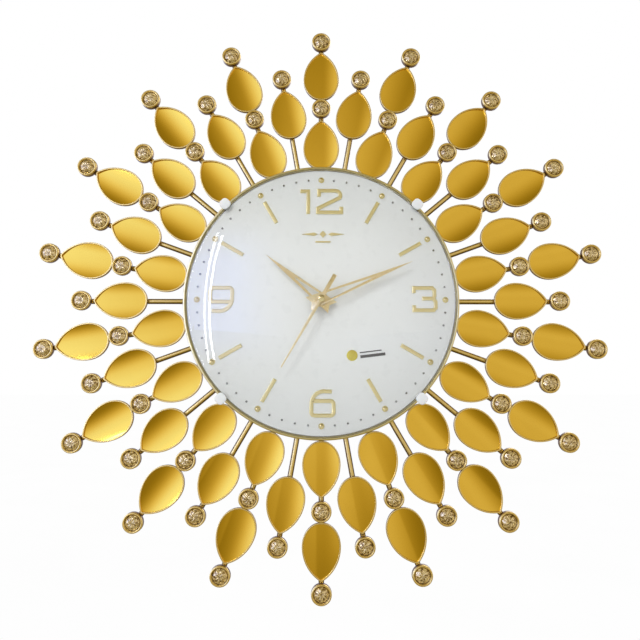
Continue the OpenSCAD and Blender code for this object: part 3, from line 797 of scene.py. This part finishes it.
class CLOCK_OT_stage(Operator):
    """Make the camera, the soft lights and the pale floor"""

    bl_idname = "clock.stage"
    bl_label = "Stage"

    def execute(self, context):
        s = context.scene.clock_stage
        scene = context.scene
        scene.view_settings.view_transform = "Standard"
        a, e = s.camera_turn, s.camera_rise
        away = Vector((math.sin(a) * math.cos(e), -math.cos(a) * math.cos(e), math.sin(e)))
        bpy.ops.object.camera_add(location=CAMERA_TARGET + away * s.camera_distance,
                                  rotation=(-away).to_track_quat("-Z", "Y").to_euler())
        scene.camera = added()
        scene.camera.data.lens = LENS

        scene.world = studio_world()
        key = area_light("key", (-1.0, -1.6, 1.5), 1.0, 1.0, s.key_power)
        key.visible_glossy = key.visible_transmission = False
        area_light("strip", (-0.885, -0.93, 0.20), 0.024, 1.1, s.strip_power, (-0.1, 0, 0))
        area_light("back_fill", (1.2, 1.8, 1.2), 1.4, 1.4, s.key_power)

        pick()
        bpy.ops.mesh.primitive_plane_add(size=FLOOR_SIZE, location=(0, 0, CAD_BOX[0][2] - s.floor_drop))
        floor = added()
        floor.name = "floor"
        with editing(floor):
            bpy.ops.mesh.subdivide(number_cuts=8)
        floor.data.materials.append(floor_finish())
        apply_place()
        floor.visible_glossy = False
        return DONE


# ---- rays ----

class CLOCK_OT_ray_ring(Operator):
    """Make the steel ring with the weld beads that hold the rays to it"""

    bl_idname = "clock.ray_ring"
    bl_label = "Ray ring"

    def execute(self, context):
        radius = context.scene.clock_rays.weld_r
        ring = bevelled(copy_of("ray_ring"), 0.5)
        beads = [ball(radius, (x, RING_FRONT + 0.2, RING_MID), (1, 0.8, 5.5)) for x in (-1.7, 1.7)]
        welds = round_the_arbor(joined(*beads), ray_turns(LONG_RAYS) + ray_turns(SHORT_RAYS))
        put(joined(ring, welds), "ray_ring_welded", "rod_paint", "ray_ring", "gold_paint")
        return DONE


class CLOCK_OT_ray_rods(Operator):
    """Make the rods of the long and the short rays, with their solder at the petals"""

    bl_idname = "clock.ray_rods"
    bl_label = "Ray rods"

    def execute(self, context):
        self.make("long_ray_rods", LONG_RAYS, JEWEL_SETS["outer"][1], ("inner", "outer"))
        self.make("short_ray_rods", SHORT_RAYS, JEWEL_SETS["middle"][1], ("middle",))
        return DONE

    def make(self, node, first, end, petals):
        radius = bpy.context.scene.clock_rays.weld_r
        pieces = [rod(ROD_R, RING_IN, end, RING_FRONT + ROD_R)]
        for petal in petals:
            start = PETAL_SETS[petal][1]
            pieces += [ball(radius, (x, RAY_FRONT - 0.6, z), (1.1, 0.8, 3), rings=5)
                       for x in (-1.6, 1.6) for z in (start + 6, start + PETAL_LEN - 8)]
        put(round_the_arbor(joined(*pieces), ray_turns(first)), node + "_soldered",
            "rod_paint", node, "gold_paint")


class CLOCK_OT_petal_frames(Operator):
    """Make the petal frames: a leaf-shaped tray with a round raised edge"""

    bl_idname = "clock.petal_frames"
    bl_label = "Petal frames"

    def execute(self, context):
        for petal, (first, start) in PETAL_SETS.items():
            piece = self.make(context.scene.clock_rays.petal_round / MM, start)
            put(round_the_arbor(piece, ray_turns(first)), petal + "_petal_trays",
                "frame_paint", petal + "_petal_frames", "gold_paint", smooth=40)
        return DONE

    def make(self, edge_round, start):
        outline = petal_outline()
        pick()
        bpy.ops.mesh.primitive_circle_add(vertices=len(outline), radius=PETAL_HALF * MM, fill_type="NGON")
        piece = added()
        for vertex, (x, y) in zip(piece.data.vertices, outline):
            vertex.co = (x * MM, -RAY_FRONT * MM, (start + y) * MM)
        with editing(piece, "FACE"):
            bpy.ops.mesh.extrude_region_move(TRANSFORM_OT_translate={"value": (0, -PETAL_T * MM, 0)})
            bpy.ops.mesh.inset(thickness=PETAL_EDGE * MM)
            bpy.ops.mesh.extrude_region_move(
                TRANSFORM_OT_translate={"value": (0, (PETAL_T - PETAL_FLOOR) * MM, 0)})
            clean()
            bpy.ops.mesh.select_mode(type="EDGE")
            for depth, width, segments in ((RAY_FRONT + PETAL_T, edge_round, 3), (RAY_FRONT, 0.3, 2)):
                select_edges(piece, lambda edge: at_depth(edge, depth) and sharp(edge))
                bpy.ops.mesh.bevel(offset=width * MM, segments=segments)

        def inside(place):
            return abs(place.x) / MM < petal_half_at(place.z / MM - start, PETAL_EDGE / 2)

        mark_lining(piece, inside)
        return piece


class CLOCK_OT_petal_mirrors(Operator):
    """Make the gold mirror sheets, dished across the ray, that lie in the petal frames"""

    bl_idname = "clock.petal_mirrors"
    bl_label = "Petal mirrors"
    inset = PETAL_EDGE + 0.05
    sheet_t = 0.5

    def execute(self, context):
        for petal, (first, start) in PETAL_SETS.items():
            piece = self.make(context.scene.clock_rays.petal_dish / MM, start)
            put(round_the_arbor(piece, ray_turns(first)), petal + "_petal_sheets",
                "gold_mirror", petal + "_petal_mirrors", smooth=40)
        return DONE

    def make(self, dish, start):
        pick()
        bpy.ops.mesh.primitive_grid_add(x_subdivisions=16, y_subdivisions=24, size=2)
        piece = added()
        tip = petal_tip(self.inset)
        edge_depth = RAY_FRONT + PETAL_FLOOR + self.sheet_t
        for vertex in piece.data.vertices:
            along = (1 - math.cos(math.pi * (vertex.co.y + 1) / 2)) / 2
            y = self.inset + (tip - self.inset) * along
            x = vertex.co.x * petal_half_at(y, self.inset)
            depth = edge_depth + dish * (x / PETAL_HALF) ** 2
            vertex.co = (x * MM, -depth * MM, (start + y) * MM)
        across = piece.data.uv_layers.new(name="across")
        for loop in piece.data.loops:
            across.data[loop.index].uv.x = piece.data.vertices[loop.vertex_index].co.x / (PETAL_HALF * MM)
        with editing(piece):
            bpy.ops.mesh.remove_doubles(threshold=0.02 * MM)
            bpy.ops.mesh.normals_make_consistent(inside=False)
        if sum(face.normal.y for face in piece.data.polygons) > 0:
            with editing(piece):
                bpy.ops.mesh.flip_normals()
        return apply_modifier(piece, "SOLIDIFY", thickness=self.sheet_t * MM, offset=-1)


class CLOCK_OT_jewel_cups(Operator):
    """Make the round cups that hold the stones"""

    bl_idname = "clock.jewel_cups"
    bl_label = "Jewel cups"

    def execute(self, context):
        d = RAY_FRONT
        top = d + CUP_T
        lip = [(0, 1.9), (0.1, 0.9), (0.35, 0.3), (0.8, 0.02), (1.4, 0.02), (1.75, 0.3), (1.95, 0.9),
               (2.15, 1.2), (2.35, 1.25), (CUP_WALL, 1.6)]
        profile = [(0, d), (CUP_R - 0.8, d), (CUP_R - 0.2, d + 0.3), (CUP_R, d + 0.9),
                   *[(CUP_R - x, top - y) for x, y in lip],
                   (CUP_R - CUP_WALL, d + CUP_FLOOR), (0, d + CUP_FLOOR)]
        for jewel, (first, radius) in JEWEL_SETS.items():
            cup = turned(profile, 36)
            mark_lining(cup)
            piece = round_the_arbor(cup, ray_turns(first), radius)
            put(piece, jewel + "_cups_turned", "cup_paint", jewel + "_jewel_cups", "gold_paint", smooth=50)
        return DONE


class CLOCK_OT_jewels(Operator):
    """Cut the champagne stones: a table, eight stars, eight kites and sixteen girdle facets"""

    bl_idname = "clock.jewels"
    bl_label = "Jewels"
    # Corners, radius, height and turn of each ring, with the table first and the culet last
    rings = ((8, 3.4, 6.2, 22.5), (8, 5.2, 5.4, 0), (16, 6.6, 4.1, 11.25), (16, 6.6, 3.5, 11.25),
             (8, 2.0, 1.3, 22.5))

    def execute(self, context):
        draw = random.Random(context.scene.clock_rays.stone_seed)
        for jewel, (first, radius) in JEWEL_SETS.items():
            twists = [draw.uniform(0, 360) for _ in range(RAYS_IN_SET)]
            piece = round_the_arbor(self.make(), ray_turns(first), radius, twists)
            put(piece, jewel + "_stones_cut", "champagne_crystal", jewel + "_jewels", smooth=5)
        return DONE

    def make(self):
        pick()
        for i, (corners, radius, height, turn) in enumerate(self.rings):
            bpy.ops.mesh.primitive_circle_add(
                vertices=corners, radius=radius * MM, location=(0, -(RAY_FRONT + height) * MM, 0),
                rotation=(math.pi / 2, math.radians(turn), 0))
            if i == 0:
                piece = added()
                apply_place()
                bpy.ops.object.mode_set(mode="EDIT")
        bpy.ops.mesh.select_all(action="SELECT")
        bpy.ops.mesh.convex_hull()
        bpy.ops.mesh.select_all(action="SELECT")
        bpy.ops.mesh.dissolve_limited(angle_limit=math.radians(1))
        clean()
        bpy.ops.object.mode_set(mode="OBJECT")
        cut = piece.data.uv_layers.new(name="cut")
        for loop in piece.data.loops:
            place = piece.data.vertices[loop.vertex_index].co
            cut.data[loop.index].uv = (place.x / (CUP_R * MM), place.z / (CUP_R * MM))
        return piece


# ---- case, dial and glass ----

class CLOCK_OT_case(Operator):
    """Make the case behind the dial with its ribs, spacers and screws"""

    bl_idname = "clock.case"
    bl_label = "Case"

    def execute(self, context):
        shell = bevelled(copy_of("back_case"), 0.4)
        rib = bevelled(box((1.6, 0.6, 38), (0, RAY_FRONT - 0.2, 75.5)), 0.2)
        ribs = round_the_arbor(rib, range(0, 360, 30))
        hoop = [(0, 0.1), (0, -0.3), (0.3, -0.5), (1.3, -0.5), (1.6, -0.3), (1.6, 0.1)]
        hoops = [turned(closed([(radius + x, RAY_FRONT + y) for x, y in hoop]), 96) for radius in HOOPS]
        put(joined(shell, ribs, *hoops), "back_case_ribbed", "white_plastic", "back_case")
        put_eased("case_spacers", "turned", "zinc_steel", 0.3)
        put_eased("case_screws", "plated", "zinc_steel", 0.2)
        return DONE


class CLOCK_OT_wall_fittings(Operator):
    """Make the keyhole plate and the rubber bumpers that rest on the wall"""

    bl_idname = "clock.wall_fittings"
    bl_label = "Wall fittings"

    def execute(self, context):
        put_eased("wall_hanger", "pressed", "zinc_steel", 0.3)
        pad = turned([(0, 0), (4.0, 0), (4.6, 0.25), (5.0, 0.9), (5.0, 2.0), (0, 2.0)], 32)
        pads = round_the_arbor(pad, (75, 105, 255, 285), RING_MID)
        put(pads, "wall_bumpers_domed", "black_rubber", "wall_bumpers")
        return DONE


class CLOCK_OT_dial_plate(Operator):
    """Make the enamelled dial plate with its centre hole"""

    bl_idname = "clock.dial_plate"
    bl_label = "Dial plate"

    def execute(self, context):
        hole = BUSH_R + 0.1
        plate = turned(closed([
            (hole, DIAL_BACK), (DIAL_R - 0.3, DIAL_BACK), (DIAL_R, DIAL_BACK + 0.3),
            (DIAL_R, DIAL_FRONT - 0.4), (DIAL_R - 0.4, DIAL_FRONT), (hole + 0.3, DIAL_FRONT),
            (hole, DIAL_FRONT - 0.3)]), 128)
        put(plate, "dial_plate_enamelled", "dial_enamel", "dial_plate")
        return DONE


class CLOCK_OT_dial_rim(Operator):
    """Make the gold rim round the dial"""

    bl_idname = "clock.dial_rim"
    bl_label = "Dial rim"

    def execute(self, context):
        crest = [(0, 1.5), (0.12, 0.85), (0.35, 0.3), (0.75, 0), (1.65, 0), (2.0, 0.3), (2.15, 1.0),
                 (2.3, 1.5), (RIM_W, 1.7)]
        rim = turned(closed([(RIM_R - RIM_W, RAY_FRONT), (RIM_R - 0.3, RAY_FRONT), (RIM_R, RAY_FRONT + 0.3),
                             *[(RIM_R - x, RIM_FRONT - y) for x, y in crest]]), 192)
        put(rim, "dial_rim_rolled", "rim_gold", "dial_rim", "pale_gold", smooth=40)
        return DONE


def dome_curve(radius, height, steps=28):
    """Points from the middle of the dome out to its flange."""
    xs = [radius * math.sin(math.pi / 2 * i / steps) for i in range(steps + 1)]
    return [(x, DIAL_FRONT + FLANGE_T + height * (1 - (x / radius) ** 2.5)) for x in xs]


class CLOCK_OT_dome_glass(Operator):
    """Blow the domed glass with its flat flange"""

    bl_idname = "clock.dome_glass"
    bl_label = "Dome glass"

    def execute(self, context):
        inside = dome_curve(DOME_R - GLASS_T, GLASS_H - GLASS_T)
        outside = dome_curve(DOME_R, GLASS_H)
        flange = [(DIAL_R - 1.25, DIAL_FRONT), (DIAL_R - 0.3, DIAL_FRONT), (DIAL_R, DIAL_FRONT + 0.3),
                  (DIAL_R, DIAL_FRONT + FLANGE_T - 0.3), (DIAL_R - 0.3, DIAL_FRONT + FLANGE_T)]
        glass = turned(inside + flange + outside[::-1], 160)
        put(glass, "dome_glass_blown", "clear_glass", "dome_glass", smooth=50)
        return DONE


class CLOCK_OT_glass_clips(Operator):
    """Mould the white clips that hold the glass, each a soft pad on a hooked leg"""

    bl_idname = "clock.glass_clips"
    bl_label = "Glass clips"

    def execute(self, context):
        pad = box((9.8, 2, 9.8), (0, RIM_FRONT + 1, RIM_R + 0.2))
        with editing(pad, "EDGE"):
            select_edges(pad, lambda edge: abs(edge.verts[0].co.y - edge.verts[1].co.y) > 1.5 * MM)
            bpy.ops.mesh.bevel(offset=3.6 * MM, segments=6)
        bevelled(pad, 0.8, 3)
        back, front = RAY_FRONT - 1.4, RIM_FRONT + 1
        leg = bevelled(box((6.8, front - back, 0.7), (0, (back + front) / 2, RIM_R + 0.55)), 0.15)
        hook_in, hook_out = DIAL_R - 5, RIM_R + 0.9
        hook = bevelled(box((6.8, 1.4, hook_out - hook_in), (0, back + 0.7, (hook_in + hook_out) / 2)), 0.3)
        clips = round_the_arbor(joined(pad, leg, hook), (45, 135, 225, 315))
        put(clips, "glass_clips_moulded", "white_plastic", "glass_clips", smooth=50)
        return DONE


def chamfered(node, width, segments=2, back=False, clamp=True):
    """A copy of a flat frame node whose front edges, and back edges if asked, are chamfered.
    Walls left inside it, where strokes overlap, are taken out first."""
    piece = copy_of(node)
    depths = [-corner.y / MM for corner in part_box(node)]
    wanted = depths if back else [max(depths)]

    def on_face(edge, planes):
        return any(at_depth(edge, depth) for depth in planes)

    with editing(piece, "FACE", select=False):
        for face in bmesh.from_edit_mesh(piece.data).faces:
            crossed = [edge for edge in face.edges if len(edge.link_faces) > 2 and on_face(edge, depths)]
            face.select_set(abs(face.normal.y) < 0.5 and bool(crossed))
        bpy.ops.mesh.delete(type="ONLY_FACE")
        bpy.ops.mesh.select_all(action="SELECT")
        bpy.ops.mesh.delete_loose(use_verts=True, use_edges=True, use_faces=False)
        bpy.ops.mesh.select_all(action="SELECT")
        bpy.ops.mesh.dissolve_limited(angle_limit=math.radians(0.5))
    with editing(piece, "EDGE", select=False):
        select_edges(piece, lambda edge: sharp(edge) and on_face(edge, wanted))
        bpy.ops.mesh.bevel(offset=width * MM, segments=segments, clamp_overlap=clamp)
    return piece


class CLOCK_OT_numerals(Operator):
    """Make the raised numerals and the hour batons with chamfered edges"""

    bl_idname = "clock.numerals"
    bl_label = "Numerals and batons"

    def execute(self, context):
        width = context.scene.clock_dial.numeral_chamfer / MM
        for node in ("numeral_twelve", "numeral_three", "numeral_six", "numeral_nine", "hour_batons"):
            put(chamfered(node, width, clamp=False), node + "_chamfered", "applied_gold", node, "pale_gold",
                smooth=15)
        return DONE


class CLOCK_OT_track(Operator):
    """Make the domed hour beads and the small minute studs of the track"""

    bl_idname = "clock.track"
    bl_label = "Beads and studs"

    def execute(self, context):
        bead = ball(BEAD_R * MM, (0, DIAL_FRONT - 0.6, 0), segments=24, rings=12)
        with editing(bead):
            bpy.ops.mesh.bisect(plane_co=(0, -DIAL_FRONT * MM, 0), plane_no=(0, 1, 0), use_fill=True,
                                clear_outer=True)
            clean()
        beads = round_the_arbor(bead, range(0, 360, 30), TRACK_R)
        put(beads, "hour_beads_domed", "bead_gold", "hour_beads", "pale_gold", smooth=40)
        top = DIAL_FRONT + STUD_T
        stud = turned([(0, DIAL_FRONT), (STUD_R, DIAL_FRONT), (STUD_R, top - 0.3), (STUD_R - 0.3, top),
                       (0, top)], 10)
        studs = round_the_arbor(stud, [6 * m for m in range(60) if m % 5], TRACK_R)
        put(studs, "minute_studs_pressed", "silver_studs", "minute_studs", smooth=40)
        return DONE


class CLOCK_OT_ornaments(Operator):
    """Make the plain ornament, the round badge and its two bars"""

    bl_idname = "clock.ornaments"
    bl_label = "Ornaments"

    def execute(self, context):
        put(chamfered("dial_ornament", 0.3), "dial_ornament_cut", "applied_gold", "dial_ornament",
            "pale_gold", smooth=15)
        put(chamfered("dial_badge", 0.25), "dial_badge_pressed", "badge_gold", "dial_badge")
        put(chamfered("badge_bars", 0.08, 1), "badge_bars_printed", "badge_grey", "badge_bars")
        return DONE


# ---- hands and hub ----

class CLOCK_OT_hands(Operator):
    """Make the hour, minute and second hands and the cap of the second hand"""

    bl_idname = "clock.hands"
    bl_label = "Hands"

    def execute(self, context):
        width = context.scene.clock_dial.hand_chamfer / MM
        for node, body in (("hour_hand", "hour"), ("minute_hand", "minute"), ("second_hand", "seconds")):
            put(chamfered(node, width, back=True), node + "_stamped", node + "_gold", node, "hand_gold",
                body)
        low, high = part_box("second_hand_cap")
        back, top = -high.y / MM, -low.y / MM
        brim = [(0, 0.2), (0.7, 0.2), (0.7, 0), (CAP_R - 0.2, 0), (CAP_R, 0.15), (CAP_R, 0.45),
                (CAP_R - 0.2, 0.75), (2.5, 1.0), (1.8, 1.15), (1.45, 1.4)]
        cap = turned([*[(radius, back + rise) for radius, rise in brim],
                      (1.4, top - 0.5), (1.2, top - 0.2), (0.7, top - 0.04), (0, top)], 40)
        put(cap, "second_hand_cap_turned", "bead_gold", "second_hand_cap", "hand_gold", "seconds", 40)
        return DONE


class CLOCK_OT_hub(Operator):
    """Make the washers and the nut that hold the movement to the dial"""

    bl_idname = "clock.hub"
    bl_label = "Hub"

    def execute(self, context):
        put_eased("rubber_washer", "cut", "black_rubber", 0.15)
        put_eased("brass_washer", "punched", "brass", 0.12)
        put_eased("bush_nut", "chamfered", "brass", 0.3)
        return DONE


# ---- movement ----

class CLOCK_OT_movement_shell(Operator):
    """Make the movement's case, cover, screws and setting knob"""

    bl_idname = "clock.movement_shell"
    bl_label = "Movement shell"

    def execute(self, context):
        put_eased("movement_case", "moulded", "black_plastic", 0.3)
        put_eased("movement_cover", "moulded", "black_plastic", 0.2)
        put_eased("cover_screws", "plated", "zinc_steel", 0.1)
        put_eased("setting_knob", "knurled", "gear_plastic", 0.15, slot="black_plastic", body="motion_work")
        return DONE


class CLOCK_OT_wheels(Operator):
    """Finish the wheels of the train in nylon and the rotor as a magnet"""

    bl_idname = "clock.wheels"
    bl_label = "Wheels"

    def execute(self, context):
        for node in ("hour_wheel", "centre_wheel", "seconds_wheel", "third_wheel", "minute_wheel",
                     "intermediate_wheel", "gear_bridge"):
            refinish(node, "gear_plastic")
        refinish("rotor", "magnet")
        return DONE


class CLOCK_OT_electrics(Operator):
    """Make the stator, coil, circuit board, crystal, battery and contacts"""

    bl_idname = "clock.electrics"
    bl_label = "Electrics"

    def execute(self, context):
        put_eased("stator", "stamped", "zinc_steel", 0.12)
        put_eased("coil", "wound", "coil_wire", 0.15)
        put_eased("circuit_board", "cut", "board_green", 0.1)
        put_eased("quartz_crystal", "canned", "zinc_steel", 0.2)
        put_eased("battery_contacts", "bent", "zinc_steel", 0.1)
        put_eased("battery", "wrapped", "battery_jacket", 0.7, 3)
        return DONE


# ---- add-on ----

OPERATORS = (
    CLOCK_OT_stage, CLOCK_OT_ray_ring, CLOCK_OT_ray_rods, CLOCK_OT_petal_frames, CLOCK_OT_petal_mirrors,
    CLOCK_OT_jewel_cups, CLOCK_OT_jewels, CLOCK_OT_case, CLOCK_OT_wall_fittings, CLOCK_OT_dial_plate,
    CLOCK_OT_dial_rim, CLOCK_OT_dome_glass, CLOCK_OT_glass_clips, CLOCK_OT_numerals, CLOCK_OT_track,
    CLOCK_OT_ornaments, CLOCK_OT_hands, CLOCK_OT_hub, CLOCK_OT_movement_shell, CLOCK_OT_wheels,
    CLOCK_OT_electrics,
)
SETTINGS = {
    "clock_rays": ClockRaySettings,
    "clock_dial": ClockDialSettings,
    "clock_colours": ClockColourSettings,
    "clock_stage": ClockStageSettings,
}


class CLOCK_PT_sidebar(Panel):
    """Lists the clock's settings and the operators that make its pieces"""

    bl_idname = "CLOCK_PT_sidebar"
    bl_label = "Sunburst Clock"
    bl_space_type = "VIEW_3D"
    bl_region_type = "UI"
    bl_category = "Clock"

    def draw(self, context):
        layout = self.layout
        for name, group in SETTINGS.items():
            column = layout.column(heading=group.__doc__)
            for prop in group.__annotations__:
                column.prop(getattr(context.scene, name), prop)
        for operator in OPERATORS:
            layout.operator(operator.bl_idname)


def register():
    for group in SETTINGS.values():
        bpy.utils.register_class(group)
    for name, group in SETTINGS.items():
        setattr(bpy.types.Scene, name, PointerProperty(type=group))
    for cls in (*OPERATORS, CLOCK_PT_sidebar):
        bpy.utils.register_class(cls)


def unregister():
    for cls in (CLOCK_PT_sidebar, *reversed(OPERATORS)):
        bpy.utils.unregister_class(cls)
    for name in SETTINGS:
        delattr(bpy.types.Scene, name)
    for group in SETTINGS.values():
        bpy.utils.unregister_class(group)


def main():
    register()
    for operator in OPERATORS:
        group, name = operator.bl_idname.split(".")
        if getattr(getattr(bpy.ops, group), name)() != DONE:
            raise RuntimeError(operator.bl_label + " was not made")
    pick()


if __name__ == "__main__":
    main()
